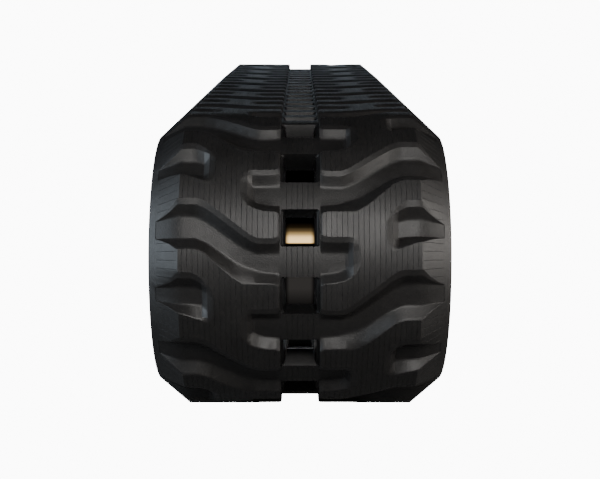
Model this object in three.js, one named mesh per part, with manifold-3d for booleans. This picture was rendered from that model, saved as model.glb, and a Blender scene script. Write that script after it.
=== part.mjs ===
// Rubber track for a compact track loader.
// An endless moulded belt: forged steel cores, one per link, lie in the guide-side rubber with two
// horns each standing inward.  Steel tension cords and a fabric ply run round outside their wings.
// The tread rubber is moulded over all of it.  Millimetres, +Z up, the belt stands on Z = 0 with
// its length along Y and its width along X.
import * as THREE from 'three';
import { mergeVertices } from 'three/addons/utils/BufferGeometryUtils.js';
import Module from 'manifold-3d';

const wasm = await Module();
wasm.setup();

// ---- driving dimensions ----
const LINK_PITCH = 86;
const LINK_COUNT = 46;
const BELT_WIDTH = 400;
const CORD_LINE_RADIUS = 191.5;       // bend radius of the tension cords, which keep their length
const FIRST_BAR = 35.4;               // first bar above the front of the near bend, along the belt
const BEND_STEPS = 16;                // flats in each half-round bend

// Heights are measured outward from the cord line.
const STRIP_HEIGHT = 8;               // outer face of the centre strip
const BLOCK_HEIGHT = 20.5;            // top of the tread blocks
const FLOOR_AT_SHOULDER = 5.5;        // groove floor where the blocks start to slope
const FLOOR_FALL = 0.37;              // how steeply the groove floor falls beyond the shoulder
const FLOOR_SETBACK = 2.3;            // from the edge of the flat block tops to where it starts
const GUIDE_FACE = -20.5;             // inner face, where the rollers run
const FLANK_WIDTH = 42.3;             // the sloping flank, from the flat block tops to the edge
const FLANK_DROP = 34.8;              // how far the flank falls over that width
const RIM_THICKNESS = 2.2;            // tread rubber left at the belt's very edge

const CORD_THICKNESS = 3;
const PLY_THICKNESS = 1;
const CORD_EDGE_COVER = 40;           // from the cords' outer edge to the belt's edge
const CORD_HORN_COVER = 10;           // from the horn holes to the cords' inner edge
const SHOULDER_MARGIN = 2;            // rubber between the cords' edge and the sloping joint

const WINDOW_HALF_WIDTH = 22.5;       // sprocket window, at the outer face
const WINDOW_RAIL = 4;                // rubber beside the window, out to the tread blocks
const BAR_COVER = 4.4;                // rubber on each side of a core, along the belt
const WINDOW_SIDE_DRAFT = 3.5;        // how much narrower it is on each side at the inner face
const WINDOW_END_DRAFT = 1.2;

const CORE_HALF_LENGTH = 15;          // half the core's size along the belt
const WING_COVER = 10;                // from a wing's tip to the cords' outer edge
const WING_TAPER = 32;                // length of the narrowing end of a wing
const WING_TIP_HALF_LENGTH = 9;
const WING_THICKNESS = 10;
const BRIDGE_HEIGHT = 3;              // top of the bar that the sprocket teeth push on
const HORN_SETBACK = 1;               // from the centre strip's edge to the horn
const HORN_FOOT_WIDTH = 22.5;
const HORN_INNER_LEAN = 4.5;          // how far each side of a horn leans in at its tip
const HORN_OUTER_LEAN = 6;
const HORN_TIP_HEIGHT = -63;
const HORN_FLARE = 4;                 // how much longer a horn is at each end of its tip

// ---- clearances ----
const GAP = 0.3;                      // between bonded pieces
const OVERCUT = 6;                    // how far a cutter runs past the face it opens

// ---- derived values ----
const HALF_WIDTH = BELT_WIDTH / 2;
const BEND = Math.PI * CORD_LINE_RADIUS;
const STRAIGHT = (LINK_COUNT * LINK_PITCH - 2 * BEND) / 2;
const AXLE_HEIGHT = CORD_LINE_RADIUS + BLOCK_HEIGHT;
const FRONT_AXLE = -STRAIGHT / 2;
const REAR_AXLE = STRAIGHT / 2;
const TREAD_HALF_FLAT = HALF_WIDTH - FLANK_WIDTH;
const BLOCK_INNER_END = WINDOW_HALF_WIDTH + WINDOW_RAIL;
const WINDOW_HALF_LENGTH = LINK_PITCH / 2 - CORE_HALF_LENGTH - BAR_COVER;
const HORN_INNER_FOOT = BLOCK_INNER_END + HORN_SETBACK;
const HORN_OUTER_FOOT = HORN_INNER_FOOT + HORN_FOOT_WIDTH;
const HORN_INNER_TIP = HORN_INNER_FOOT + HORN_INNER_LEAN;
const HORN_OUTER_TIP = HORN_OUTER_FOOT - HORN_OUTER_LEAN;
const HORN_TIP_HALF_LENGTH = CORE_HALF_LENGTH + HORN_FLARE;
const CORD_INNER_EDGE = HORN_OUTER_FOOT + CORD_HORN_COVER;
const CORD_OUTER_EDGE = HALF_WIDTH - CORD_EDGE_COVER;
const WING_TIP = CORD_OUTER_EDGE - WING_COVER;
const WING_TAPER_START = WING_TIP - WING_TAPER;
const FLAT_SAG = CORD_LINE_RADIUS * (1 - Math.cos(Math.PI / BEND_STEPS / 2));
const CORD_TOP = CORD_THICKNESS / 2;
const CORD_BOTTOM = -CORD_THICKNESS / 2;
const PLY_BOTTOM = CORD_TOP + GAP;
const PLY_TOP = PLY_BOTTOM + PLY_THICKNESS;
const CORE_RISE = CORE_HALF_LENGTH ** 2 / (2 * (CORD_LINE_RADIUS - WING_THICKNESS));
const WING_TOP = CORD_BOTTOM - GAP - FLAT_SAG - CORE_RISE;
const WING_BOTTOM = WING_TOP - WING_THICKNESS;
const STRIP_HALF_WIDTH = BLOCK_INNER_END - GAP;
const JOINT_START = CORD_OUTER_EDGE + SHOULDER_MARGIN;
const RIM_BOTTOM = BLOCK_HEIGHT - FLANK_DROP - RIM_THICKNESS;

const RUBBER_TREAD = { color: 0x2b2b2b, roughness: 0.62, metalness: 0.0 };
const RUBBER_GUIDE = { color: 0x262625, roughness: 0.7, metalness: 0.0 };
const FORGED_STEEL = { color: 0x4a4745, roughness: 0.55, metalness: 0.85 };
const STEEL_CORD = { color: 0xa59a7c, roughness: 0.4, metalness: 0.9 };
const FABRIC = { color: 0x6b6357, roughness: 0.95, metalness: 0.0 };

const group = new THREE.Group();

// ---- the loop that every piece follows ----

// The place of a point on the cord line, and how far the belt is turned there about X.
// The distance starts at the front of the near bend and runs up and over the top.
function stationAt(along) {
  const total = 2 * STRAIGHT + 2 * BEND;
  const s = ((along % total) + total) % total;
  const topStart = BEND / 2;
  const rearStart = topStart + STRAIGHT;
  const bottomStart = rearStart + BEND;
  const frontStart = bottomStart + STRAIGHT;
  if (s < topStart) {
    return bendStation(FRONT_AXLE, Math.PI / 2 - s / CORD_LINE_RADIUS);
  }
  if (s < rearStart) {
    return { y: FRONT_AXLE + (s - topStart), z: AXLE_HEIGHT + CORD_LINE_RADIUS, tilt: 0 };
  }
  if (s < bottomStart) {
    return bendStation(REAR_AXLE, -(s - rearStart) / CORD_LINE_RADIUS);
  }
  if (s < frontStart) {
    return { y: REAR_AXLE - (s - bottomStart), z: AXLE_HEIGHT - CORD_LINE_RADIUS, tilt: Math.PI };
  }
  return bendStation(FRONT_AXLE, Math.PI - (s - frontStart) / CORD_LINE_RADIUS);
}

function bendStation(axle, tilt) {
  return {
    y: axle - CORD_LINE_RADIUS * Math.sin(tilt),
    z: AXLE_HEIGHT + CORD_LINE_RADIUS * Math.cos(tilt),
    tilt,
  };
}

// A flat-belt point (across, along, height above the cord line) carried onto the loop.
function onLoop(across, along, height) {
  const { y, z, tilt } = stationAt(along);
  return new THREE.Vector3(across, y - height * Math.sin(tilt), z + height * Math.cos(tilt));
}

// A matrix that sets a rigid piece, drawn as (across, along, height), on the loop.
function seatAt(along) {
  const { y, z, tilt } = stationAt(along);
  return new THREE.Matrix4().makeRotationX(tilt).setPosition(0, y, z);
}

function barPosition(index) {
  return FIRST_BAR + index * LINK_PITCH;
}

// ---- solids ----

function toSolid(geometry) {
  const bare = geometry.index ? geometry.toNonIndexed() : geometry.clone();
  bare.deleteAttribute('normal');
  bare.deleteAttribute('uv');
  const merged = mergeVertices(bare, 1e-4);
  const vertProperties = new Float32Array(merged.attributes.position.array);
  const triVerts = new Uint32Array(merged.index.array);
  return new wasm.Manifold(new wasm.Mesh({ numProp: 3, vertProperties, triVerts }));
}

function toGeometry(solid) {
  const mesh = solid.getMesh();
  const geometry = new THREE.BufferGeometry();
  geometry.setAttribute('position', new THREE.BufferAttribute(new Float32Array(mesh.vertProperties), 3));
  geometry.setIndex(new THREE.BufferAttribute(new Uint32Array(mesh.triVerts), 1));
  geometry.computeVertexNormals();
  return geometry;
}

// Joins many solids pair by pair.
function joinAll(solids) {
  let row = solids;
  while (row.length > 1) {
    const next = [];
    for (let i = 0; i < row.length; i += 2) {
      next.push(i + 1 < row.length ? row[i].add(row[i + 1]) : row[i]);
    }
    row = next;
  }
  return row[0];
}

// Side view of the belt at one height above the cord line: two straights and two half-rounds.
function loopOutline(height) {
  const radius = CORD_LINE_RADIUS + height;
  const outline = new THREE.Shape();
  outline.moveTo(FRONT_AXLE, AXLE_HEIGHT - radius);
  outline.lineTo(REAR_AXLE, AXLE_HEIGHT - radius);
  outline.absarc(REAR_AXLE, AXLE_HEIGHT, radius, -Math.PI / 2, Math.PI / 2, false);
  outline.lineTo(FRONT_AXLE, AXLE_HEIGHT + radius);
  outline.absarc(FRONT_AXLE, AXLE_HEIGHT, radius, Math.PI / 2, 1.5 * Math.PI, false);
  return outline;
}

// Turns a side view extruded along its own third axis so that it runs along X.
function layAcross(geometry, start) {
  const toBelt = new THREE.Matrix4().set(0, 0, 1, start, 1, 0, 0, 0, 0, 1, 0, 0, 0, 0, 0, 1);
  return geometry.applyMatrix4(toBelt);
}

// A full slab of the loop at one height, between two places across the belt.
function slab(height, from, to) {
  const settings = { depth: to - from, bevelEnabled: false, curveSegments: BEND_STEPS / 2 };
  return toSolid(layAcross(new THREE.ExtrudeGeometry(loopOutline(height), settings), from));
}

// A slab across the whole belt that is level out to halfFlat and then falls in a straight slope.
function slopedSlab(height, halfFlat, run, fall) {
  const settings = {
    depth: 2 * halfFlat,
    bevelEnabled: true,
    bevelSegments: 1,
    bevelThickness: run,
    bevelSize: fall,
    bevelOffset: -fall,
    curveSegments: BEND_STEPS / 2,
  };
  return toSolid(layAcross(new THREE.ExtrudeGeometry(loopOutline(height), settings), -halfFlat));
}

function ring(bottom, top, from, to) {
  return slab(top, from, to).subtract(slab(bottom, from - OVERCUT, to + OVERCUT));
}

// A slab that holds everything between two places across the belt.
function stripBetween(from, to) {
  return slab(BLOCK_HEIGHT + OVERCUT, from, to);
}

// A cutter bent onto the loop: a box in sections across the belt and in layers from the bottom up.
// cornerAt gives the flat-belt point [across, along, height] of section i, end j and layer k, drawn
// for the half on +X; side -1 mirrors it.
function bentBox(sections, layers, side, cornerAt) {
  const box = new THREE.BoxGeometry(sections, 1, layers, sections, 1, layers);
  box.translate(sections / 2, 0.5, layers / 2);
  const place = box.attributes.position;
  for (let i = 0; i < place.count; i += 1) {
    const index = [place.getX(i), place.getY(i), place.getZ(i)].map(Math.round);
    const point = onLoop(...cornerAt(...index));
    place.setXYZ(i, side * point.x, point.y, point.z);
  }
  if (side < 0) {
    box.index.array.reverse();
  }
  return toSolid(box);
}

// ---- tread pattern ----
// Each half has one long groove and a pair of short ones in every two links.  A groove is a list of
// sections from the centre outward: the low and high corner of its floor, then of its opening.
// Points are shares of the half width across and of the pitch along, from the middle of a bar.
const PAST_EDGE = 1.15;
const SHOULDER_SHARE = (TREAD_HALF_FLAT + FLOOR_SETBACK) / HALF_WIDTH;
const LONGEST_GROOVE = 1.3;           // in links
const LONG_GROOVE = [
  [[0.1, -0.13], [0.1, 0.12], [0.1, -0.303], [0.1, 0.32]],
  [[0.3, -0.118], [0.33, 0.12], [0.39, -0.303], [0.321, 0.36]],
  [[0.66, 0.361], [0.66, 0.639], [0.64, 0.176], [0.64, 0.908]],
  [[SHOULDER_SHARE, 0.361], [SHOULDER_SHARE, 0.65], [SHOULDER_SHARE, 0.176], [SHOULDER_SHARE, 0.912]],
  [[PAST_EDGE, 0.361], [PAST_EDGE, 0.62], [PAST_EDGE, 0.176], [PAST_EDGE, 0.912]],
];
const SHORT_INNER_GROOVE = [
  [[0.1, -0.12], [0.1, 0.13], [0.1, -0.303], [0.1, 0.35]],
  [[0.22, -0.12], [0.26, 0.13], [0.31, -0.303], [0.36, 0.34]],
  [[0.29, -0.02], [0.29, 0.08], [0.39, -0.12], [0.39, 0.24]],
];
const SHORT_OUTER_GROOVE = [
  [[0.68, 0.44], [0.68, 0.52], [0.56, 0.3], [0.57, 0.6]],
  [[0.72, 0.36], [0.73, 0.6], [0.61, 0.15], [0.67, 0.86]],
  [[SHOULDER_SHARE, 0.36], [SHOULDER_SHARE, 0.6], [SHOULDER_SHARE, 0.2], [SHOULDER_SHARE, 0.87]],
  [[PAST_EDGE, 0.38], [PAST_EDGE, 0.58], [PAST_EDGE, 0.2], [PAST_EDGE, 0.87]],
];

// Level with the centre strip at the inner end, a little lower at the shoulder, then falling away.
function grooveFloor(across) {
  const shoulder = SHOULDER_SHARE * HALF_WIDTH;
  if (across > shoulder) {
    return FLOOR_AT_SHOULDER - FLOOR_FALL * (across - shoulder);
  }
  const share = Math.max(0, (across - BLOCK_INNER_END) / (shoulder - BLOCK_INNER_END));
  return THREE.MathUtils.lerp(STRIP_HEIGHT, FLOOR_AT_SHOULDER, share);
}

// Three layers: the floor, the opening level with the block tops, and a lid high enough above them
// to clear the bends, where it is a chord.
const LID_SAG = (LONGEST_GROOVE * LINK_PITCH) ** 2 / (8 * (CORD_LINE_RADIUS + BLOCK_HEIGHT));
const LID_HEIGHT = BLOCK_HEIGHT + LID_SAG + OVERCUT;

function groove(shape, side, bar) {
  return bentBox(shape.length - 1, 2, side, (i, j, k) => {
    const [share, links] = shape[i][k === 0 ? j : 2 + j];
    const across = share * HALF_WIDTH;
    const heights = [grooveFloor(across), BLOCK_HEIGHT, LID_HEIGHT];
    return [across, barPosition(bar) + links * LINK_PITCH, heights[k]];
  });
}

// On the -X half the long grooves start at even bars, on the +X half at odd ones.
function treadGrooves(side) {
  const cutters = [];
  for (let bar = 0; bar < LINK_COUNT; bar += 1) {
    const isLong = (bar % 2 === 0) === (side < 0);
    const shapes = isLong ? [LONG_GROOVE] : [SHORT_INNER_GROOVE, SHORT_OUTER_GROOVE];
    for (const shape of shapes) {
      cutters.push(groove(shape, side, bar));
    }
  }
  return cutters;
}

// ---- steel core ----

// Drawn lying flat: x across the belt, y along it, z outward from the cord line.
function extrudedAcross(points, halfWidth, centre) {
  const outline = new THREE.Shape(points.map(([y, z]) => new THREE.Vector2(y, z)));
  const geometry = new THREE.ExtrudeGeometry(outline, { depth: 2 * halfWidth, bevelEnabled: false });
  return toSolid(layAcross(geometry, centre - halfWidth));
}

function extrudedAlong(points, halfLength) {
  const outline = new THREE.Shape(points.map(([x, z]) => new THREE.Vector2(x, z)));
  const geometry = new THREE.ExtrudeGeometry(outline, { depth: 2 * halfLength, bevelEnabled: false });
  geometry.rotateX(Math.PI / 2);
  geometry.translate(0, halfLength, 0);
  return toSolid(geometry);
}

function wings() {
  const outline = new THREE.Shape();
  outline.moveTo(-WING_TAPER_START, -CORE_HALF_LENGTH);
  outline.lineTo(WING_TAPER_START, -CORE_HALF_LENGTH);
  outline.lineTo(WING_TIP, -WING_TIP_HALF_LENGTH);
  outline.lineTo(WING_TIP, WING_TIP_HALF_LENGTH);
  outline.lineTo(WING_TAPER_START, CORE_HALF_LENGTH);
  outline.lineTo(-WING_TAPER_START, CORE_HALF_LENGTH);
  outline.lineTo(-WING_TIP, WING_TIP_HALF_LENGTH);
  outline.lineTo(-WING_TIP, -WING_TIP_HALF_LENGTH);
  outline.closePath();
  const geometry = new THREE.ExtrudeGeometry(outline, { depth: WING_THICKNESS, bevelEnabled: false });
  geometry.translate(0, 0, WING_BOTTOM);
  return toSolid(geometry);
}

// A horn narrows across the belt towards its tip and widens along it.
function horn(side) {
  const front = extrudedAlong([
    [side * HORN_INNER_FOOT, WING_BOTTOM + GAP],
    [side * HORN_OUTER_FOOT, WING_BOTTOM + GAP],
    [side * HORN_OUTER_TIP, HORN_TIP_HEIGHT],
    [side * HORN_INNER_TIP, HORN_TIP_HEIGHT],
  ], HORN_TIP_HALF_LENGTH + OVERCUT);
  const middle = side * (HORN_INNER_FOOT + HORN_OUTER_FOOT) / 2;
  const profile = extrudedAcross([
    [-CORE_HALF_LENGTH, WING_BOTTOM + GAP],
    [-CORE_HALF_LENGTH, GUIDE_FACE],
    [-HORN_TIP_HALF_LENGTH, HORN_TIP_HEIGHT],
    [HORN_TIP_HALF_LENGTH, HORN_TIP_HEIGHT],
    [CORE_HALF_LENGTH, GUIDE_FACE],
    [CORE_HALF_LENGTH, WING_BOTTOM + GAP],
  ], HORN_OUTER_FOOT - HORN_INNER_FOOT, middle);
  return front.intersect(profile);
}

function coreSolid() {
  const halfBridge = STRIP_HALF_WIDTH - GAP;
  const bridge = extrudedAlong([
    [-halfBridge, GUIDE_FACE + GAP],
    [halfBridge, GUIDE_FACE + GAP],
    [halfBridge, BRIDGE_HEIGHT],
    [-halfBridge, BRIDGE_HEIGHT],
  ], CORE_HALF_LENGTH);
  return joinAll([wings(), bridge, horn(-1), horn(1)]);
}

// Room for one core in the guide-side rubber: the wing lies in a slot and the horn goes through.
function corePocket(side) {
  const hornHole = HORN_OUTER_FOOT + GAP;
  const below = GUIDE_FACE - OVERCUT;
  return extrudedAlong([
    [0, below],
    [side * hornHole, below],
    [side * hornHole, WING_BOTTOM - GAP],
    [side * (WING_TIP + GAP), WING_BOTTOM - GAP],
    [side * (WING_TIP + GAP), OVERCUT],
    [0, OVERCUT],
  ], CORE_HALF_LENGTH + GAP);
}

// Room for one core's bridge under the centre strip.
function bridgePocket() {
  return extrudedAlong([
    [-BLOCK_INNER_END, GUIDE_FACE - OVERCUT],
    [BLOCK_INNER_END, GUIDE_FACE - OVERCUT],
    [BLOCK_INNER_END, BRIDGE_HEIGHT + GAP],
    [-BLOCK_INNER_END, BRIDGE_HEIGHT + GAP],
  ], CORE_HALF_LENGTH + GAP);
}

function onEveryBar(solid) {
  const copies = [];
  for (let bar = 0; bar < LINK_COUNT; bar += 1) {
    copies.push(solid.transform(seatAt(barPosition(bar)).elements));
  }
  return copies;
}

// ---- rubber ----

function windowCutter(bar) {
  const middle = barPosition(bar) + LINK_PITCH / 2;
  return bentBox(1, 1, 1, (i, j, k) => {
    const height = k === 0 ? GUIDE_FACE - OVERCUT : STRIP_HEIGHT + OVERCUT;
    const depth = (STRIP_HEIGHT - height) / (STRIP_HEIGHT - GUIDE_FACE);
    const halfWidth = WINDOW_HALF_WIDTH - depth * WINDOW_SIDE_DRAFT;
    const halfLength = WINDOW_HALF_LENGTH - depth * WINDOW_END_DRAFT;
    return [(2 * i - 1) * halfWidth, middle + (2 * j - 1) * halfLength, height];
  });
}

// The strip between the tread blocks: it lines each sprocket window and covers each bridge.
function centreStrip() {
  const windows = [];
  for (let bar = 0; bar < LINK_COUNT; bar += 1) {
    windows.push(windowCutter(bar));
  }
  return ring(GUIDE_FACE, STRIP_HEIGHT, -STRIP_HALF_WIDTH, STRIP_HALF_WIDTH)
    .subtract(joinAll(windows))
    .subtract(joinAll(onEveryBar(bridgePocket())));
}

// The sloping joint between the tread and guide-side rubber, set off by a distance.
function jointSlab(offset) {
  const run = HALF_WIDTH - JOINT_START;
  const fall = CORD_BOTTOM - RIM_BOTTOM;
  const stretch = (run + OVERCUT) / run;
  return slopedSlab(CORD_BOTTOM + offset, JOINT_START, run * stretch, fall * stretch);
}

function treadHalf(side) {
  const edges = [side * BLOCK_INNER_END, side * (HALF_WIDTH + OVERCUT)].sort((a, b) => a - b);
  const channel = [side * (CORD_INNER_EDGE - GAP), side * (CORD_OUTER_EDGE + GAP)].sort((a, b) => a - b);
  return slopedSlab(BLOCK_HEIGHT, TREAD_HALF_FLAT, FLANK_WIDTH, FLANK_DROP)
    .intersect(stripBetween(edges[0], edges[1]))
    .subtract(jointSlab(0))
    .subtract(slab(PLY_TOP + GAP, channel[0], channel[1]))
    .subtract(joinAll(treadGrooves(side)));
}

function guideHalf(side) {
  const edges = [side * BLOCK_INNER_END, side * HALF_WIDTH].sort((a, b) => a - b);
  return jointSlab(-GAP)
    .intersect(stripBetween(edges[0], edges[1]))
    .subtract(slab(GUIDE_FACE, -HALF_WIDTH - OVERCUT, HALF_WIDTH + OVERCUT))
    .subtract(joinAll(onEveryBar(corePocket(side))));
}

// ---- assembly ----

function addNode(name, geometry, finish) {
  const mesh = new THREE.Mesh(geometry, new THREE.MeshStandardMaterial(finish));
  mesh.name = name;
  group.add(mesh);
  return mesh;
}

function addRing(name, bottom, top, side, finish) {
  const edges = [side * CORD_INNER_EDGE, side * CORD_OUTER_EDGE].sort((a, b) => a - b);
  addNode(name, toGeometry(ring(bottom, top, edges[0], edges[1])), finish);
}

const sides = [['left', -1], ['right', 1]];
for (const [word, side] of sides) {
  addNode(`tread_${word}`, toGeometry(treadHalf(side)), RUBBER_TREAD);
  addNode(`guide_rubber_${word}`, toGeometry(guideHalf(side)), RUBBER_GUIDE);
  addRing(`cord_belt_${word}`, CORD_BOTTOM, CORD_TOP, side, STEEL_CORD);
  addRing(`fabric_ply_${word}`, PLY_BOTTOM, PLY_TOP, side, FABRIC);
}
addNode('centre_strip', toGeometry(centreStrip()), RUBBER_TREAD);

const coreGeometry = toGeometry(coreSolid());
for (let bar = 0; bar < LINK_COUNT; bar += 1) {
  const station = stationAt(barPosition(bar));
  const core = addNode(`core_${String(bar + 1).padStart(2, '0')}`, coreGeometry, FORGED_STEEL);
  core.position.set(0, station.y, station.z);
  core.rotation.x = station.tilt;
}

export default group;
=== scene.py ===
import math

import bpy
import numpy as np
from mathutils import Matrix, Vector


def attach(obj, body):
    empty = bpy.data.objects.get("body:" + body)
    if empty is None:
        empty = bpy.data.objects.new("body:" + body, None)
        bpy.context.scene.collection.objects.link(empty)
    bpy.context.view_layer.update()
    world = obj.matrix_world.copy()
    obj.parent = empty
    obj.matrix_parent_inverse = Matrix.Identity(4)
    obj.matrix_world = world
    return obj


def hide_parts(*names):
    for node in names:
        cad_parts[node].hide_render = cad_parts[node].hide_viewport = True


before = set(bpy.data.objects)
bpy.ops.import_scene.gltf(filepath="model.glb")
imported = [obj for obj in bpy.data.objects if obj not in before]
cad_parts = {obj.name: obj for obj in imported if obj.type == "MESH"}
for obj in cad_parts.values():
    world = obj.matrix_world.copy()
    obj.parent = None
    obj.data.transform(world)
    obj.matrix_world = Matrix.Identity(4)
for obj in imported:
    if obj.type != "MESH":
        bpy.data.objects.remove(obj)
bpy.ops.object.select_all(action="DESELECT")
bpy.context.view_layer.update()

# ---------------------------------------------------------------------------------------------
# Steel core, one in every link.  A drop-forged bar that lies across the belt, with a thick bridge
# for the sprocket teeth, a flat wing on each side and two horns that keep the rollers on the path.
# It is bonded into the rubber when the belt is cured.

LINK_PITCH = 0.086
LINK_COUNT = 46
BELT_LENGTH = LINK_PITCH * LINK_COUNT
CORD_LINE_RADIUS = 0.1915
FIRST_BAR = 0.0354
BEND = math.pi * CORD_LINE_RADIUS
STRAIGHT = (BELT_LENGTH - 2 * BEND) / 2
BLOCK_TOP = 0.0205
AXLE_HEIGHT = CORD_LINE_RADIUS + BLOCK_TOP

CORE_HALF_LENGTH = 0.015
WING_TIP = 0.150
WING_TAPER_START = 0.118
WING_TIP_HALF_LENGTH = 0.009
WING_TOP = -0.0033
WING_BOTTOM = -0.0133
BRIDGE_TOP = 0.003
BRIDGE_BOTTOM = -0.0202
BRIDGE_HALF_WIDTH = 0.0259
HORN_INNER_FOOT = 0.0275
HORN_OUTER_FOOT = 0.050
HORN_INNER_TIP = 0.032
HORN_OUTER_TIP = 0.044
HORN_TIP = -0.063
HORN_TIP_HALF_LENGTH = 0.019
HORN_ROOT = 0.004
HORN_FOOT_SETBACK = 0.0012
WING_EDGE = 0.0018
BRIDGE_EDGE = 0.003
HORN_EDGE = 0.0042


def seat_on_belt(along):
    """Where a rigid piece drawn flat (across, along, height) sits on the bent belt."""
    quarter = BEND / 2
    along = along % BELT_LENGTH
    if along < quarter:
        tilt = math.pi / 2 - along / CORD_LINE_RADIUS
        axle = -STRAIGHT / 2
    elif along < quarter + STRAIGHT:
        tilt = 0.0
        axle = along - quarter - STRAIGHT / 2
    elif along < 3 * quarter + STRAIGHT:
        tilt = -(along - quarter - STRAIGHT) / CORD_LINE_RADIUS
        axle = STRAIGHT / 2
    elif along < 3 * quarter + 2 * STRAIGHT:
        tilt = math.pi
        axle = STRAIGHT / 2 - (along - 3 * quarter - STRAIGHT)
    else:
        tilt = math.pi - (along - 3 * quarter - 2 * STRAIGHT) / CORD_LINE_RADIUS
        axle = -STRAIGHT / 2
    y = axle - CORD_LINE_RADIUS * math.sin(tilt)
    z = AXLE_HEIGHT + CORD_LINE_RADIUS * math.cos(tilt)
    return Matrix.Translation((0, y, z)) @ Matrix.Rotation(tilt, 4, "X")


def make_active(piece):
    bpy.ops.object.select_all(action="DESELECT")
    piece.select_set(True)
    bpy.context.view_layer.objects.active = piece


def block(name, low, high):
    """A box between two corners, with its object left at the origin."""
    bpy.ops.mesh.primitive_cube_add(size=1)
    piece = bpy.context.object
    piece.name = name
    piece.data.name = name
    size = Vector(high) - Vector(low)
    middle = (Vector(high) + Vector(low)) / 2
    piece.data.transform(Matrix.Translation(middle) @ Matrix.Diagonal((*size, 1)))
    return piece


def bevel(piece, width, segments, angle=30):
    make_active(piece)
    soft = piece.modifiers.new("bevel", "BEVEL")
    soft.width = width
    soft.segments = segments
    soft.limit_method = "ANGLE"
    soft.angle_limit = math.radians(angle)
    bpy.ops.object.modifier_apply(modifier=soft.name)


def combine(piece, other, operation):
    make_active(piece)
    joint = piece.modifiers.new("combine", "BOOLEAN")
    joint.object = other
    joint.operation = operation
    joint.solver = "EXACT"
    joint.material_mode = "TRANSFER"
    bpy.ops.object.modifier_apply(modifier=joint.name)
    bpy.data.objects.remove(other)


def shade(piece, degrees):
    make_active(piece)
    bpy.ops.object.shade_smooth_by_angle(angle=math.radians(degrees), keep_sharp_edges=True)


core = block("core_blank", (-WING_TIP, -CORE_HALF_LENGTH, WING_BOTTOM),
             (WING_TIP, CORE_HALF_LENGTH, WING_TOP))
make_active(core)
bpy.ops.object.mode_set(mode="EDIT")
bpy.ops.mesh.select_all(action="SELECT")
for side in (-1, 1):
    bpy.ops.mesh.bisect(plane_co=(side * WING_TAPER_START, 0, 0), plane_no=(1, 0, 0))
    bpy.ops.mesh.select_all(action="SELECT")
bpy.ops.object.mode_set(mode="OBJECT")
for vertex in core.data.vertices:
    if abs(vertex.co.x) > WING_TAPER_START + WING_EDGE:
        vertex.co.y *= WING_TIP_HALF_LENGTH / CORE_HALF_LENGTH
bevel(core, WING_EDGE, 2)

bridge = block("bridge", (-BRIDGE_HALF_WIDTH, -CORE_HALF_LENGTH, BRIDGE_BOTTOM),
               (BRIDGE_HALF_WIDTH, CORE_HALF_LENGTH, BRIDGE_TOP))
bevel(bridge, BRIDGE_EDGE, 3)
combine(core, bridge, "UNION")

for side in (-1, 1):
    horn = block("horn", (-1, -1, HORN_TIP), (1, 1, WING_BOTTOM + HORN_ROOT))
    for vertex in horn.data.vertices:
        at_tip = vertex.co.z < WING_BOTTOM
        inner = HORN_INNER_TIP if at_tip else HORN_INNER_FOOT
        outer = HORN_OUTER_TIP if at_tip else HORN_OUTER_FOOT
        across = outer if vertex.co.x > 0 else inner
        half_length = HORN_TIP_HALF_LENGTH if at_tip else CORE_HALF_LENGTH - HORN_FOOT_SETBACK
        vertex.co.x = side * across
        vertex.co.y = math.copysign(half_length, vertex.co.y)
    if side < 0:
        horn.data.flip_normals()
    bevel(horn, HORN_EDGE, 4)
    combine(core, horn, "UNION")
shade(core, 35)


def node(tree, kind, **inputs):
    """Adds a shader node and sets its inputs: a value, or a socket to link from."""
    new = tree.nodes.new(kind)
    for name, value in inputs.items():
        key = int(name[1:]) if name.startswith("_") else name.replace("_", " ")
        socket = new.inputs[key]
        if isinstance(value, bpy.types.NodeSocket):
            tree.links.new(value, socket)
        else:
            socket.default_value = value
    return new


def ramp(tree, factor, *stops):
    """A run of shades along a factor, each stop given as a place with a grey or a colour."""
    new = tree.nodes.new("ShaderNodeValToRGB")
    tree.links.new(factor, new.inputs[0])
    while len(new.color_ramp.elements) < len(stops):
        new.color_ramp.elements.new(0.5)
    for element, (place, value) in zip(new.color_ramp.elements, stops):
        element.position = place
        element.color = (value, value, value, 1) if isinstance(value, float) else (*value, 1)
    return new.outputs["Color"]


def mix_colour(tree, factor, first, second):
    new = tree.nodes.new("ShaderNodeMix")
    new.data_type = "RGBA"
    for socket, value in ((new.inputs[0], factor), (new.inputs[6], first), (new.inputs[7], second)):
        if isinstance(value, bpy.types.NodeSocket):
            tree.links.new(value, socket)
        else:
            socket.default_value = value
    return new.outputs[2]


def blank_material(name):
    material = bpy.data.materials.new(name)
    material.use_nodes = True
    tree = material.node_tree
    shader = tree.nodes["Principled BSDF"]
    return material, tree, shader


FORGED_GREY = (0.085, 0.078, 0.072, 1)
RUST_BROWN = (0.17, 0.085, 0.045, 1)

steel, tree, shader = blank_material("forged_core_steel")
place = node(tree, "ShaderNodeTexCoord").outputs["Object"]
scale_marks = node(tree, "ShaderNodeTexNoise", Vector=place, Scale=55.0, Detail=6.0,
                   Roughness=0.65).outputs[0]
fine_marks = node(tree, "ShaderNodeTexNoise", Vector=place, Scale=900.0, Detail=3.0).outputs[0]
rust = ramp(tree, scale_marks, (0.50, 0.0), (0.72, 1.0))
shader.inputs["Metallic"].default_value = 0.85
tree.links.new(mix_colour(tree, rust, FORGED_GREY, RUST_BROWN), shader.inputs["Base Color"])
tree.links.new(ramp(tree, scale_marks, (0.3, 0.45), (0.7, 0.72)), shader.inputs["Roughness"])
grain = node(tree, "ShaderNodeBump", Strength=0.25, Distance=0.0006, Height=fine_marks)
tree.links.new(grain.outputs[0], shader.inputs["Normal"])
core.data.materials.append(steel)

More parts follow.
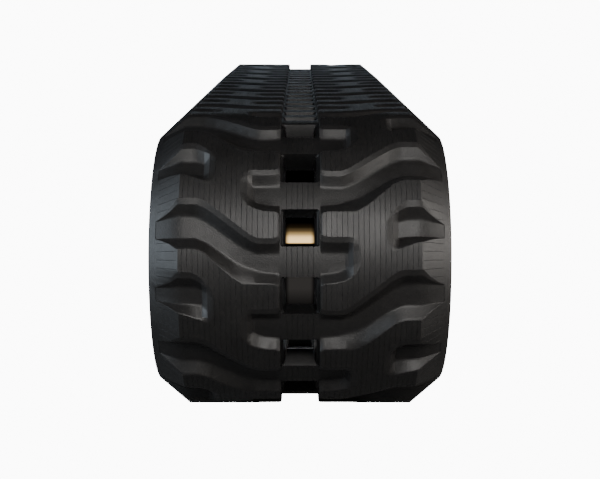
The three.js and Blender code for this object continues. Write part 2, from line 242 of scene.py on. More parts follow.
for link in range(LINK_COUNT):
    name = f"core_{link + 1:02d}"
    copy = bpy.data.objects.new(f"forged_{name}", core.data.copy())
    bpy.context.collection.objects.link(copy)
    copy.data.transform(seat_on_belt(FIRST_BAR + link * LINK_PITCH))
    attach(copy, "root")
    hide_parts(name)
bpy.data.objects.remove(core)

# ---------------------------------------------------------------------------------------------
# Guide-side rubber, left and right.  The hard inner half of the belt, moulded round the wings of
# the cores; its flat inner face is the path that the track rollers run on.

GAP = 0.0003
STRIP_EDGE = 0.0265
HALF_WIDTH = 0.200
GUIDE_FACE = -0.0205
CORD_INNER_EDGE = 0.060
CORD_OUTER_EDGE = 0.160
JOINT_START = 0.162
JOINT_TOP = -0.0015
RIM_BOTTOM = -0.0165
CORD_SEAT = -0.0027
STEPS_PER_LINK = 8
PATH_FINENESS = 96
END_TOLERANCE = 0.00001
SEAM_TOLERANCE = 0.00003

path_curve = bpy.data.curves.new("belt_path", "CURVE")
path_curve.dimensions = "2D"
path_curve.resolution_u = PATH_FINENESS
path_spline = path_curve.splines.new("BEZIER")
reach = 4 / 3 * math.tan(math.pi / 8) * CORD_LINE_RADIUS
half = STRAIGHT / 2
path_points = [
    (-half, CORD_LINE_RADIUS, reach, 0),
    (half, CORD_LINE_RADIUS, reach, 0),
    (half + CORD_LINE_RADIUS, 0, 0, -reach),
    (half, -CORD_LINE_RADIUS, -reach, 0),
    (-half, -CORD_LINE_RADIUS, -reach, 0),
    (-half - CORD_LINE_RADIUS, 0, 0, reach),
]
path_spline.bezier_points.add(len(path_points) - 1)
for knot, (x, y, dx, dy) in zip(path_spline.bezier_points, path_points):
    knot.handle_left_type = "FREE"
    knot.handle_right_type = "FREE"
    knot.co = (x, y, 0)
    knot.handle_left = (x - dx, y - dy, 0)
    knot.handle_right = (x + dx, y + dy, 0)
path_spline.use_cyclic_u = True
path_stretch = path_spline.calc_length() / BELT_LENGTH
belt_path = bpy.data.objects.new("belt_path", path_curve)
bpy.context.collection.objects.link(belt_path)


def flat_strip(name, outline, length):
    """A length of belt drawn flat: x along it, y outward from the cord line, z across."""
    mesh = bpy.data.meshes.new(name)
    mesh.from_pydata([(0, height, across) for across, height in outline], [], [range(len(outline))])
    piece = bpy.data.objects.new(name, mesh)
    bpy.context.collection.objects.link(piece)
    make_active(piece)
    bpy.ops.object.mode_set(mode="EDIT")
    bpy.ops.mesh.select_all(action="SELECT")
    bpy.ops.mesh.extrude_region_move(TRANSFORM_OT_translate={"value": (length, 0, 0)})
    bpy.ops.mesh.select_all(action="SELECT")
    bpy.ops.mesh.normals_make_consistent(inside=False)
    bpy.ops.object.mode_set(mode="OBJECT")
    return piece


def wrap_on_belt(piece, length, degrees):
    """Opens the ends, repeats the length all the way round and bends it onto the belt's path."""
    make_active(piece)
    bpy.ops.object.mode_set(mode="EDIT")
    bpy.ops.mesh.select_mode(type="FACE")
    bpy.ops.mesh.select_all(action="DESELECT")
    bpy.ops.object.mode_set(mode="OBJECT")
    for face in piece.data.polygons:
        ends = [piece.data.vertices[i].co.x for i in face.vertices]
        face.select = max(ends) < END_TOLERANCE or min(ends) > length - END_TOLERANCE
    bpy.ops.object.mode_set(mode="EDIT")
    bpy.ops.mesh.delete(type="FACE")
    steps = round(length / LINK_PITCH) * STEPS_PER_LINK
    for step in range(1, steps):
        bpy.ops.mesh.select_all(action="SELECT")
        bpy.ops.mesh.bisect(plane_co=(step * length / steps, 0, 0), plane_no=(1, 0, 0))
    bpy.ops.object.mode_set(mode="OBJECT")
    row = piece.modifiers.new("row", "ARRAY")
    row.count = round(BELT_LENGTH / length)
    row.use_relative_offset = False
    row.use_constant_offset = True
    row.constant_offset_displace = (length, 0, 0)
    row.use_merge_vertices = True
    row.merge_threshold = SEAM_TOLERANCE
    bpy.ops.object.modifier_apply(modifier=row.name)
    mesh = piece.data
    points = np.empty(3 * len(mesh.vertices), np.float32)
    mesh.vertices.foreach_get("co", points)
    points = points.reshape(-1, 3)
    corners = np.empty(len(mesh.loops), np.int32)
    mesh.loops.foreach_get("vertex_index", corners)
    flat = mesh.uv_layers.new(name="belt")
    flat.data.foreach_set("uv", points[corners][:, (0, 2)].ravel().copy())
    mesh.transform(Matrix.Diagonal((path_stretch, 1, 1, 1)))
    bend = piece.modifiers.new("bend", "CURVE")
    bend.object = belt_path
    bend.deform_axis = "POS_X"
    bpy.ops.object.modifier_apply(modifier=bend.name)
    stand = Matrix(((0, 0, 1, 0), (1, 0, 0, 0), (0, 1, 0, AXLE_HEIGHT), (0, 0, 0, 1)))
    mesh.transform(stand)
    bpy.ops.object.mode_set(mode="EDIT")
    bpy.ops.mesh.select_mode(type="VERT")
    bpy.ops.mesh.select_all(action="SELECT")
    bpy.ops.mesh.remove_doubles(threshold=SEAM_TOLERANCE)
    bpy.ops.mesh.select_all(action="SELECT")
    bpy.ops.mesh.normals_make_consistent(inside=False)
    bpy.ops.object.mode_set(mode="OBJECT")
    shade(piece, degrees)


def other_side(piece):
    """Turns a piece drawn for the right half over to the left."""
    piece.data.transform(Matrix.Diagonal((1, 1, -1, 1)))
    piece.data.flip_normals()


DUST_COLOUR = (0.16, 0.14, 0.12, 1)
STREAK_STRETCH = (14.0, 520.0, 1.0)

# One finish for everything moulded: dark filler, a fine grain, dull patches and a trace of dust.
moulded = bpy.data.node_groups.new("moulded_rubber", "ShaderNodeTree")
for name, kind, value in (
    ("Place", "NodeSocketVector", None),
    ("Colour", "NodeSocketColor", (0.02, 0.02, 0.02, 1)),
    ("Dust", "NodeSocketFloat", 0.1),
    ("Grain", "NodeSocketFloat", 1100.0),
):
    socket = moulded.interface.new_socket(name, in_out="INPUT", socket_type=kind)
    if value is not None:
        socket.default_value = value
moulded.interface.new_socket("Colour", in_out="OUTPUT", socket_type="NodeSocketColor")
moulded.interface.new_socket("Roughness", in_out="OUTPUT", socket_type="NodeSocketFloat")
moulded.interface.new_socket("Height", in_out="OUTPUT", socket_type="NodeSocketFloat")
given = moulded.nodes.new("NodeGroupInput").outputs
result = moulded.nodes.new("NodeGroupOutput")
fine = node(moulded, "ShaderNodeTexNoise", Vector=given["Place"], Scale=given["Grain"], Detail=3.0,
            Roughness=0.6).outputs[0]
patches = node(moulded, "ShaderNodeTexNoise", Vector=given["Place"], Scale=26.0, Detail=6.0,
               Roughness=0.6).outputs[0]
clouds = node(moulded, "ShaderNodeTexNoise", Vector=given["Place"], Scale=150.0, Detail=5.0,
              Roughness=0.7).outputs[0]
settled = ramp(moulded, clouds, (0.48, 0.0), (0.75, 1.0))
dust = node(moulded, "ShaderNodeMath", _0=settled, _1=given["Dust"])
dust.operation = "MULTIPLY"
mottled = node(moulded, "ShaderNodeMath", _0=patches, _1=0.55)
mottled.operation = "MULTIPLY_ADD"
mottled.inputs[2].default_value = 0.72
shaded = node(moulded, "ShaderNodeVectorMath", _0=given["Colour"])
shaded.operation = "SCALE"
moulded.links.new(mottled.outputs[0], shaded.inputs["Scale"])
dusty = mix_colour(moulded, dust.outputs[0], shaded.outputs[0], DUST_COLOUR)
moulded.links.new(dusty, result.inputs["Colour"])
moulded.links.new(ramp(moulded, patches, (0.3, 0.44), (0.7, 0.54)), result.inputs["Roughness"])
moulded.links.new(fine, result.inputs["Height"])


def rubber(name, colour, dust_amount, grain_size, grain_depth, streak_depth=0.0, shine=0.5):
    """A moulded rubber; streaks, where it has them, run along the belt."""
    material, tree, shader = blank_material(name)
    place = node(tree, "ShaderNodeTexCoord").outputs["Object"]
    finish = tree.nodes.new("ShaderNodeGroup")
    finish.node_tree = moulded
    tree.links.new(place, finish.inputs["Place"])
    finish.inputs["Colour"].default_value = (*colour, 1)
    finish.inputs["Dust"].default_value = dust_amount
    finish.inputs["Grain"].default_value = grain_size
    tree.links.new(finish.outputs["Colour"], shader.inputs["Base Color"])
    tree.links.new(finish.outputs["Roughness"], shader.inputs["Roughness"])
    shader.inputs["Specular IOR Level"].default_value = shine
    bumps = node(tree, "ShaderNodeBump", Strength=0.5, Distance=grain_depth,
                 Height=finish.outputs["Height"])
    if streak_depth > 0:
        flat = tree.nodes.new("ShaderNodeUVMap")
        flat.uv_map = "belt"
        drawn = node(tree, "ShaderNodeVectorMath", _0=flat.outputs[0], _1=STREAK_STRETCH)
        drawn.operation = "MULTIPLY"
        streaks = node(tree, "ShaderNodeTexNoise", Vector=drawn.outputs[0], Scale=1.0, Detail=3.0,
                       Roughness=0.6)
        bumps = node(tree, "ShaderNodeBump", Strength=0.7, Distance=streak_depth,
                     Height=streaks.outputs[0], Normal=bumps.outputs[0])
    tree.links.new(bumps.outputs[0], shader.inputs["Normal"])
    return material


GUIDE_COLOUR = (0.022, 0.021, 0.020)
EDGE_ROUND = 0.0015
CUT_CLEAR = 0.01

guide_rubber = rubber("guide_side_rubber", GUIDE_COLOUR, 0.25, 900.0, 0.0003)
guide_outline = [
    (STRIP_EDGE, GUIDE_FACE + EDGE_ROUND),
    (STRIP_EDGE, JOINT_TOP - GAP),
    (CORD_INNER_EDGE - GAP, JOINT_TOP - GAP),
    (CORD_INNER_EDGE - GAP, CORD_SEAT),
    (CORD_OUTER_EDGE + GAP, CORD_SEAT),
    (CORD_OUTER_EDGE + GAP, JOINT_TOP - GAP),
    (JOINT_START, JOINT_TOP - GAP),
    (HALF_WIDTH, RIM_BOTTOM - GAP),
    (HALF_WIDTH, GUIDE_FACE + EDGE_ROUND),
    (HALF_WIDTH - EDGE_ROUND, GUIDE_FACE),
    (STRIP_EDGE + EDGE_ROUND, GUIDE_FACE),
]
POCKET_HALF = CORE_HALF_LENGTH + GAP
for word, side in (("left", -1), ("right", 1)):
    guide = flat_strip(f"guide_side_{word}", guide_outline, LINK_PITCH)
    wing_slot = block("wing_slot", (FIRST_BAR - POCKET_HALF, WING_BOTTOM - GAP, 0),
                      (FIRST_BAR + POCKET_HALF, CUT_CLEAR, WING_TIP + GAP))
    combine(guide, wing_slot, "DIFFERENCE")
    horn_hole = block("horn_hole", (FIRST_BAR - POCKET_HALF, GUIDE_FACE - CUT_CLEAR, 0),
                      (FIRST_BAR + POCKET_HALF, WING_BOTTOM, HORN_OUTER_FOOT + GAP))
    combine(guide, horn_hole, "DIFFERENCE")
    guide.data.materials.clear()
    guide.data.materials.append(guide_rubber)
    if side < 0:
        other_side(guide)
    wrap_on_belt(guide, LINK_PITCH, 30)
    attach(guide, "root")
    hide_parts(f"guide_rubber_{word}")

# ---------------------------------------------------------------------------------------------
# Tension cords, left and right.  A flat band of brass-plated steel cords side by side, calendered
# in rubber and wound endless round the belt, so that it can bend but not stretch.

CORD_SPACING = 0.0045
BRIGHT_BRASS = (0.42, 0.34, 0.19, 1)
STAINED_BRASS = (0.20, 0.17, 0.12, 1)
SKIM_RUBBER = (0.02, 0.02, 0.02, 1)

cord_steel, tree, shader = blank_material("brassed_steel_cord")
place = node(tree, "ShaderNodeTexCoord").outputs["Object"]
across = node(tree, "ShaderNodeSeparateXYZ", Vector=place).outputs["X"]
strands = node(tree, "ShaderNodeMath", _0=across, _1=math.pi / CORD_SPACING)
strands.operation = "MULTIPLY"
ridge = node(tree, "ShaderNodeMath", _0=strands.outputs[0])
ridge.operation = "SINE"
round_cord = node(tree, "ShaderNodeMath", _0=ridge.outputs[0])
round_cord.operation = "ABSOLUTE"
stain = node(tree, "ShaderNodeTexNoise", Vector=place, Scale=70.0, Detail=5.0).outputs[0]
shader.inputs["Metallic"].default_value = 0.9
brass = mix_colour(tree, ramp(tree, stain, (0.4, 0.0), (0.7, 1.0)), BRIGHT_BRASS, STAINED_BRASS)
bare_cord = ramp(tree, round_cord.outputs[0], (0.1, 0.0), (0.35, 1.0))
tree.links.new(mix_colour(tree, bare_cord, SKIM_RUBBER, brass), shader.inputs["Base Color"])
tree.links.new(ramp(tree, stain, (0.3, 0.32), (0.7, 0.55)), shader.inputs["Roughness"])
bumps = node(tree, "ShaderNodeBump", Strength=0.8, Distance=0.0008, Height=round_cord.outputs[0])
tree.links.new(bumps.outputs[0], shader.inputs["Normal"])
for word in ("left", "right"):
    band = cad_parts[f"cord_belt_{word}"]
    band.data.materials.clear()
    band.data.materials.append(cord_steel)

# ---------------------------------------------------------------------------------------------
# Fabric ply, left and right.  A single layer of woven nylon dipped in rubber, laid over the cords
# to keep stones that cut the tread from reaching them.

WEAVE_SPACING = 0.0018
THREAD_SHADOW = (0.07, 0.06, 0.05, 1)
THREAD_TOP = (0.16, 0.14, 0.115, 1)
DIP_RUBBER = (0.03, 0.03, 0.03, 1)

ply_fabric, tree, shader = blank_material("dipped_nylon_ply")
place = node(tree, "ShaderNodeTexCoord").outputs["Object"]
threads = node(tree, "ShaderNodeVectorMath", _0=place, _1=(math.pi / WEAVE_SPACING,) * 3)
threads.operation = "MULTIPLY"
parts = node(tree, "ShaderNodeSeparateXYZ", Vector=threads.outputs[0]).outputs
weft = node(tree, "ShaderNodeMath", _0=parts["X"])
weft.operation = "SINE"
run_sum = node(tree, "ShaderNodeMath", _0=parts["Y"], _1=parts["Z"])
warp = node(tree, "ShaderNodeMath", _0=run_sum.outputs[0])
warp.operation = "SINE"
crossing = node(tree, "ShaderNodeMath", _0=weft.outputs[0], _1=warp.outputs[0])
crossing.operation = "MULTIPLY"
over = node(tree, "ShaderNodeMapRange", Value=crossing.outputs[0])
over.inputs["From Min"].default_value = -1.0
wear = node(tree, "ShaderNodeTexNoise", Vector=place, Scale=40.0, Detail=4.0).outputs[0]
cloth = mix_colour(tree, over.outputs[0], THREAD_SHADOW, THREAD_TOP)
dipped = ramp(tree, wear, (0.45, 0.0), (0.7, 0.6))
tree.links.new(mix_colour(tree, dipped, cloth, DIP_RUBBER), shader.inputs["Base Color"])
tree.links.new(ramp(tree, wear, (0.3, 0.8), (0.7, 0.95)), shader.inputs["Roughness"])
bumps = node(tree, "ShaderNodeBump", Strength=0.6, Distance=0.0004, Height=over.outputs[0])
tree.links.new(bumps.outputs[0], shader.inputs["Normal"])
for word in ("left", "right"):
    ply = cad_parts[f"fabric_ply_{word}"]
    ply.data.materials.clear()
    ply.data.materials.append(ply_fabric)

# ---------------------------------------------------------------------------------------------
# Centre strip.  The narrow band of rubber between the two treads: it covers the bridge of every
# core and lines the windows that the sprocket teeth drop into.

STRIP_TOP = 0.008
STRIP_HALF_WIDTH = STRIP_EDGE
WINDOW_HALF_WIDTH = 0.0225
WINDOW_HALF_LENGTH = 0.0236
WINDOW_SIDE_DRAFT = 0.0035
WINDOW_END_DRAFT = 0.0012
WINDOW_CORNER = 0.0025
RIB_SPACING = 0.007
STRIP_RIBS_END = 0.0215
CUTTER_REACH = 0.006
FLARE_WIDTH = 0.0035
FLARE_DEPTH = 0.0045
FLARE_LENGTH = 0.0008
RIB_CUT_HALF_WIDTH = 0.00038
RIB_CUT_DEPTH = 0.0004
TREAD_COLOUR = (0.0062, 0.0059, 0.0058)
SHADE_LINING_COLOUR = (0.0033, 0.0033, 0.0035)


def ribbed_line(start, end, height):
    """A level outline with a fine cut between each rib and the next."""
    count = int((end - start) / RIB_SPACING)
    first = (start + end - (count - 1) * RIB_SPACING) / 2
    line = []
    for rib in range(count):
        cut = first + rib * RIB_SPACING
        line.append((cut - RIB_CUT_HALF_WIDTH, height))
        line.append((cut, height - RIB_CUT_DEPTH))
        line.append((cut + RIB_CUT_HALF_WIDTH, height))
    return line


tread_rubber = rubber("tread_rubber", TREAD_COLOUR, 0.04, 1000.0, 0.0004, 0.0004)
strip_outline = [(-STRIP_HALF_WIDTH, GUIDE_FACE), (-STRIP_HALF_WIDTH, STRIP_TOP)]
strip_outline += ribbed_line(-STRIP_RIBS_END, STRIP_RIBS_END, STRIP_TOP)
strip_outline += [(STRIP_HALF_WIDTH, STRIP_TOP), (STRIP_HALF_WIDTH, GUIDE_FACE)]
strip = flat_strip("centre_strip_rubber", strip_outline, LINK_PITCH)

window_middle = FIRST_BAR + LINK_PITCH / 2
window = block("window", (window_middle - 1, GUIDE_FACE - CUTTER_REACH, -1),
               (window_middle + 1, STRIP_TOP + CUTTER_REACH, 1))
for vertex in window.data.vertices:
    depth = (STRIP_TOP - vertex.co.y) / (STRIP_TOP - GUIDE_FACE)
    half_width = WINDOW_HALF_WIDTH - depth * WINDOW_SIDE_DRAFT
    half_length = WINDOW_HALF_LENGTH - depth * WINDOW_END_DRAFT
    vertex.co.x = window_middle + math.copysign(half_length, vertex.co.x - window_middle)
    vertex.co.z = math.copysign(half_width, vertex.co.z)
bevel(window, WINDOW_CORNER, 3)


def beyond_end(cutter, length):
    """A second copy of a cutter one length back, for a cut that crosses the end of the strip."""
    twin = bpy.data.objects.new(cutter.name, cutter.data.copy())
    bpy.context.collection.objects.link(twin)
    twin.data.transform(Matrix.Translation((-length, 0, 0)))
    return twin


# Painted shade: the window walls, their flared rims, the bridge pockets and the flank cuts take a darker,
# duller rubber, so that these recesses read as shaded.
shade_lining_rubber = rubber("window_lining_painted_shade", SHADE_LINING_COLOUR, 0.02, 500.0, 0.0004, shine=0.28)
window.data.materials.append(shade_lining_rubber)
strip.data.materials.append(tread_rubber)
flare = block("window_flare", (window_middle - 1, STRIP_TOP - FLARE_DEPTH, -1),
              (window_middle + 1, STRIP_TOP + FLARE_DEPTH, 1))
for vertex in flare.data.vertices:
    opened = (vertex.co.y - STRIP_TOP + FLARE_DEPTH) / FLARE_DEPTH
    half_width = WINDOW_HALF_WIDTH + (opened - 0.1) * FLARE_WIDTH
    half_length = WINDOW_HALF_LENGTH + (opened - 0.5) * FLARE_LENGTH
    vertex.co.x = window_middle + math.copysign(half_length, vertex.co.x - window_middle)
    vertex.co.z = math.copysign(half_width, vertex.co.z)
bevel(flare, WINDOW_CORNER, 3)
flare.data.materials.append(shade_lining_rubber)
# The windows cross the ends of the length drawn, so each cutter is used at both ends.
for cutter in (window, flare):
    cutter_back = beyond_end(cutter, LINK_PITCH)
    combine(strip, cutter, "DIFFERENCE")
    combine(strip, cutter_back, "DIFFERENCE")
pocket_side = STRIP_HALF_WIDTH + CUTTER_REACH
bridge_pocket = block("bridge_pocket", (FIRST_BAR - POCKET_HALF, GUIDE_FACE - CUTTER_REACH, -pocket_side),
                      (FIRST_BAR + POCKET_HALF, BRIDGE_TOP + GAP, pocket_side))
bridge_pocket.data.materials.append(shade_lining_rubber)
combine(strip, bridge_pocket, "DIFFERENCE")
wrap_on_belt(strip, LINK_PITCH, 30)
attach(strip, "root")
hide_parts("centre_strip")

# ---------------------------------------------------------------------------------------------
# Tread rubber, left and right.  One thick moulding per side with the lug blocks on it: every two
# links it has one long bent groove and a pair of short ones, and the pattern of the right side is
# the left one turned over and moved along by a link.

TREAD_FLAT = 0.1577
FLANK_DROP = 0.0348
PLY_SEAT = 0.0031
BLOCK_ROUND = 0.0025
EDGE_CORNER = 0.0015
FLOOR_AT_SHOULDER = 0.0055
FLOOR_FALL = 0.37
GROOVE_LID = 0.030
THINNEST_CUT = 0.0004
FLANK_SLOPE = FLANK_DROP / (HALF_WIDTH - TREAD_FLAT)
SHOULDER = 0.160
SIDE_SOFTENING = 0.008
GROOVE_COLOUR = (0.0070, 0.0066, 0.0064)
FLANK_CUTS = 16
NEARBY_BARS = range(-2, 4)

# Each groove is given by its sides across the half width: places from the centre as a share of
# the half width, and for each the run of the opening and of the floor, in links from a bar.
LONG_ACROSS = [0.12, 0.132, 0.14, 0.15, 0.163, 0.20, 0.25, 0.28, 0.30, 0.32, 0.34, 0.36, 0.38, 0.41, 0.44,
               0.47, 0.50, 0.54, 0.58, 0.60, 0.62, 0.64, 0.66, 0.68, 0.70, 0.75, 0.797, 0.85, 0.90, 0.95]
LONG_OPEN_HIGH = [(0.12, 0.43), (0.135, 0.38), (0.145, 0.35), (0.165, 0.325), (0.27, 0.325),
                  (0.325, 0.375), (0.60, 0.83), (0.64, 0.88), (0.67, 0.90), (0.80, 0.90)]
LONG_OPEN_LOW = [(0.12, -0.41), (0.135, -0.36), (0.145, -0.33), (0.165, -0.303), (0.368, -0.303),
                 (0.449, -0.195), (0.623, 0.129), (0.69, 0.18), (0.80, 0.176)]
LONG_FLOOR_HIGH = [(0.10, 0.12), (0.28, 0.10), (0.382, 0.20), (0.596, 0.547), (0.677, 0.639), (0.80, 0.655),
                   (0.952, 0.624)]
LONG_FLOOR_LOW = [(0.10, -0.17), (0.247, -0.14), (0.408, 0.0), (0.596, 0.283), (0.677, 0.361), (0.82, 0.361),
                  (0.952, 0.353)]
INNER_ACROSS = [0.12, 0.132, 0.14, 0.15, 0.163, 0.20, 0.24, 0.27, 0.295, 0.315, 0.335, 0.345, 0.365,
                0.38, 0.392]
INNER_OPEN_HIGH = [(0.12, 0.45), (0.135, 0.40), (0.145, 0.37), (0.165, 0.345), (0.33, 0.345), (0.37, 0.30),
                   (0.395, 0.22)]
INNER_OPEN_LOW = [(0.12, -0.40), (0.135, -0.35), (0.145, -0.32), (0.165, -0.30), (0.23, -0.30), (0.31, -0.25),
                  (0.36, -0.17), (0.395, -0.05)]
INNER_FLOOR_HIGH = [(0.10, 0.12), (0.30, 0.12), (0.395, 0.14)]
INNER_FLOOR_LOW = [(0.10, -0.17), (0.20, -0.16), (0.28, -0.12), (0.32, -0.05), (0.395, 0.02)]
OUTER_ACROSS = [0.558, 0.565, 0.58, 0.60, 0.61, 0.63, 0.64, 0.66, 0.68, 0.70, 0.73, 0.76, 0.797,
                0.85, 0.90, 0.95]
OUTER_OPEN_HIGH = [(0.555, 0.55), (0.58, 0.66), (0.645, 0.79), (0.697, 0.864), (0.80, 0.87)]
OUTER_OPEN_LOW = [(0.555, 0.25), (0.575, 0.17), (0.604, 0.15), (0.70, 0.22), (0.76, 0.27), (0.80, 0.28)]
OUTER_FLOOR_HIGH = [(0.555, 0.50), (0.63, 0.56), (0.69, 0.60), (0.80, 0.60), (0.952, 0.58)]
OUTER_FLOOR_LOW = [(0.555, 0.34), (0.63, 0.36), (0.69, 0.38), (0.80, 0.38), (0.952, 0.37)]
# A groove that stops short rises at its blind end: places across, and how far shut it is there.
OPEN_END = [(0.0, 0.0), (1.0, 0.0)]
INNER_END = [(0.31, 0.0), (0.345, 0.80), (0.392, 0.99)]
OUTER_END = [(0.558, 0.99), (0.60, 0.80), (0.64, 0.0)]


def along_side(line, across):
    """The run of a groove's side at one place across, with its bends a little rounded."""
    places = [across - SIDE_SOFTENING, across, across + SIDE_SOFTENING]
    return float(np.mean(np.interp(places, *zip(*line))))


def loft(name, rings):
    """A closed solid through a row of rings of points, with a flat face at each end."""
    size = len(rings[0])
    points = [point for ring in rings for point in ring]
    faces = [tuple(range(size)), tuple(range(len(points) - size, len(points)))]
    for row in range(len(rings) - 1):
        for i in range(size):
            j = (i + 1) % size
            start = row * size
            faces.append((start + i, start + j, start + size + j, start + size + i))
    mesh = bpy.data.meshes.new(name)
    mesh.from_pydata(points, [], faces)
    piece = bpy.data.objects.new(name, mesh)
    bpy.context.collection.objects.link(piece)
    make_active(piece)
    bpy.ops.object.mode_set(mode="EDIT")
    bpy.ops.mesh.select_all(action="SELECT")
    bpy.ops.mesh.normals_make_consistent(inside=False)
    bpy.ops.object.mode_set(mode="OBJECT")
    return piece


# How a groove's side goes down: shares of its run and of its depth, from the opening.
HIGH_SIDE = [(0.0, 0.0), (0.34, 0.18), (0.78, 0.85), (0.86, 0.93), (0.94, 0.985), (1.02, 1.0)]
LOW_SIDE = [(0.0, 0.0), (0.10, 0.06), (0.74, 0.85), (0.83, 0.93), (0.92, 0.985), (1.0, 1.0)]


def groove_ring(across_share, bar, sides, end):
    """One section of a groove: lid, high side down, floor, low side up, lid."""
    open_high, open_low, floor_high, floor_low = sides
    across = across_share * HALF_WIDTH
    flat_share = min(across_share, SHOULDER / HALF_WIDTH)
    top = BLOCK_TOP - max(0.0, across - TREAD_FLAT) * FLANK_SLOPE
    if across > SHOULDER:
        floor = FLOOR_AT_SHOULDER - FLOOR_FALL * (across - SHOULDER)
    else:
        inward = max(0.0, (across - STRIP_EDGE) / (SHOULDER - STRIP_EDGE))
        floor = STRIP_TOP + (FLOOR_AT_SHOULDER - STRIP_TOP) * inward
    floor += float(np.interp(across_share, *zip(*end))) * (top - floor)
    depth = max(top - floor, THINNEST_CUT)
    share = depth / (BLOCK_TOP - FLOOR_AT_SHOULDER) if across > SHOULDER else 1.0
    high_run = (along_side(open_high, flat_share) - along_side(floor_high, flat_share)) * share
    low_run = (along_side(floor_low, flat_share) - along_side(open_low, flat_share)) * share
    high = along_side(floor_high, across_share)
    low = along_side(floor_low, across_share)
    ring = [(high + high_run, GROOVE_LID)]
    ring += [(high + high_run * (1 - run), top - depth * drop) for run, drop in HIGH_SIDE]
    ring += [(low - low_run * (1 - run), top - depth * drop) for run, drop in reversed(LOW_SIDE)]
    ring += [(low - low_run, GROOVE_LID)]
    return [(FIRST_BAR + (bar + run) * LINK_PITCH, height, across) for run, height in ring]


def groove(name, across_list, sides, bar, end):
    """The solid that is cut out of the tread for one groove, at a bar counted from the first."""
    return loft(name, [groove_ring(share, bar, sides, end) for share in across_list])


FLANK_CUT_HALF_WIDTH = 0.00025
FLANK_CUT_DEPTH = 0.0004
FLANK_CUT_START = 0.1592
FLANK_CUT_END = 0.188


def flank_cut(along):
    """A fine V cut straight down the sloping flank, drawn from above the face to below it."""
    rings = []
    for across in (FLANK_CUT_START, FLANK_CUT_END):
        face = BLOCK_TOP - (across - TREAD_FLAT) * FLANK_SLOPE
        rings.append([
            (along - 2 * FLANK_CUT_HALF_WIDTH, face + FLANK_CUT_DEPTH, across),
            (along, face - FLANK_CUT_DEPTH, across),
            (along + 2 * FLANK_CUT_HALF_WIDTH, face + FLANK_CUT_DEPTH, across),
        ])
    return loft("flank_cut", rings)


def joined(name, pieces):
    """Makes one cutter of many, so that each tread is cut once."""
    bpy.ops.object.select_all(action="DESELECT")
    for piece in pieces:
        piece.select_set(True)
    bpy.context.view_layer.objects.active = pieces[0]
    bpy.ops.object.join()
    pieces[0].name = name
    return pieces[0]


groove_rubber = rubber("groove_rubber", GROOVE_COLOUR, 0.03, 650.0, 0.0007)
tread_outline = [(STRIP_EDGE, JOINT_TOP), (STRIP_EDGE, BLOCK_TOP - BLOCK_ROUND),
                 (STRIP_EDGE + 0.3 * BLOCK_ROUND, BLOCK_TOP - 0.3 * BLOCK_ROUND),
                 (STRIP_EDGE + BLOCK_ROUND, BLOCK_TOP)]
tread_outline += ribbed_line(STRIP_EDGE + BLOCK_ROUND, TREAD_FLAT, BLOCK_TOP)
tread_outline += [
    (TREAD_FLAT, BLOCK_TOP),
    (HALF_WIDTH - EDGE_CORNER, BLOCK_TOP - FLANK_DROP + EDGE_CORNER * FLANK_SLOPE),
    (HALF_WIDTH, BLOCK_TOP - FLANK_DROP),
    (HALF_WIDTH, RIM_BOTTOM),
    (JOINT_START, JOINT_TOP),
    (CORD_OUTER_EDGE + GAP, JOINT_TOP),
    (CORD_OUTER_EDGE + GAP, PLY_SEAT),
    (CORD_INNER_EDGE - GAP, PLY_SEAT),
    (CORD_INNER_EDGE - GAP, JOINT_TOP),
]
REPEAT = 2 * LINK_PITCH
long_sides = (LONG_OPEN_HIGH, LONG_OPEN_LOW, LONG_FLOOR_HIGH, LONG_FLOOR_LOW)
inner_sides = (INNER_OPEN_HIGH, INNER_OPEN_LOW, INNER_FLOOR_HIGH, INNER_FLOOR_LOW)
outer_sides = (OUTER_OPEN_HIGH, OUTER_OPEN_LOW, OUTER_FLOOR_HIGH, OUTER_FLOOR_LOW)
for word, side in (("left", -1), ("right", 1)):
    tread = flat_strip(f"tread_rubber_{word}", tread_outline, REPEAT)
    tread.data.materials.clear()
    tread.data.materials.append(tread_rubber)
    first_long = 0 if side < 0 else 1
    cutters = []
    for bar in NEARBY_BARS:
        if (bar - first_long) % 2 == 0:
            cutters.append(groove("long_groove", LONG_ACROSS, long_sides, bar, OPEN_END))
        else:
            cutters.append(groove("inner_groove", INNER_ACROSS, inner_sides, bar, INNER_END))
            cutters.append(groove("outer_groove", OUTER_ACROSS, outer_sides, bar, OUTER_END))
    grooves = joined("grooves", cutters)
    grooves.data.materials.clear()
    grooves.data.materials.append(groove_rubber)
    combine(tread, grooves, "DIFFERENCE")
    cuts = [flank_cut((i + 0.5) * REPEAT / FLANK_CUTS) for i in range(FLANK_CUTS)]
    flank_cuts = joined("flank_cuts", cuts)
    # The fine flank cuts take the darker lining rubber: painted shade, so that they read as dark lines.
    flank_cuts.data.materials.clear()
    flank_cuts.data.materials.append(shade_lining_rubber)
    combine(tread, flank_cuts, "DIFFERENCE")
    # The rim where a groove meets the face stays crisp.
    make_active(tread)
    tread.active_material_index = 1
    bpy.ops.object.mode_set(mode="EDIT")
    bpy.ops.mesh.select_mode(type="FACE")
    bpy.ops.mesh.select_all(action="DESELECT")
    bpy.ops.object.material_slot_select()
    bpy.ops.mesh.region_to_loop()
    bpy.ops.mesh.mark_sharp()
    bpy.ops.object.mode_set(mode="OBJECT")
    if side < 0:
        other_side(tread)
    wrap_on_belt(tread, REPEAT, 20)
    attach(tread, "root")
    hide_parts(f"tread_{word}")
bpy.data.objects.remove(belt_path)

# ---------------------------------------------------------------------------------------------
# Floor, lights and camera.  A pale studio floor under a white surround, a soft key lamp high
# in front of the near bend, two side lamps for the flanks and a low one behind the far end.

FLOOR_HALF = 9.0
FLOOR_DROP = 0.0005
WHITE_LEVEL = 11.0

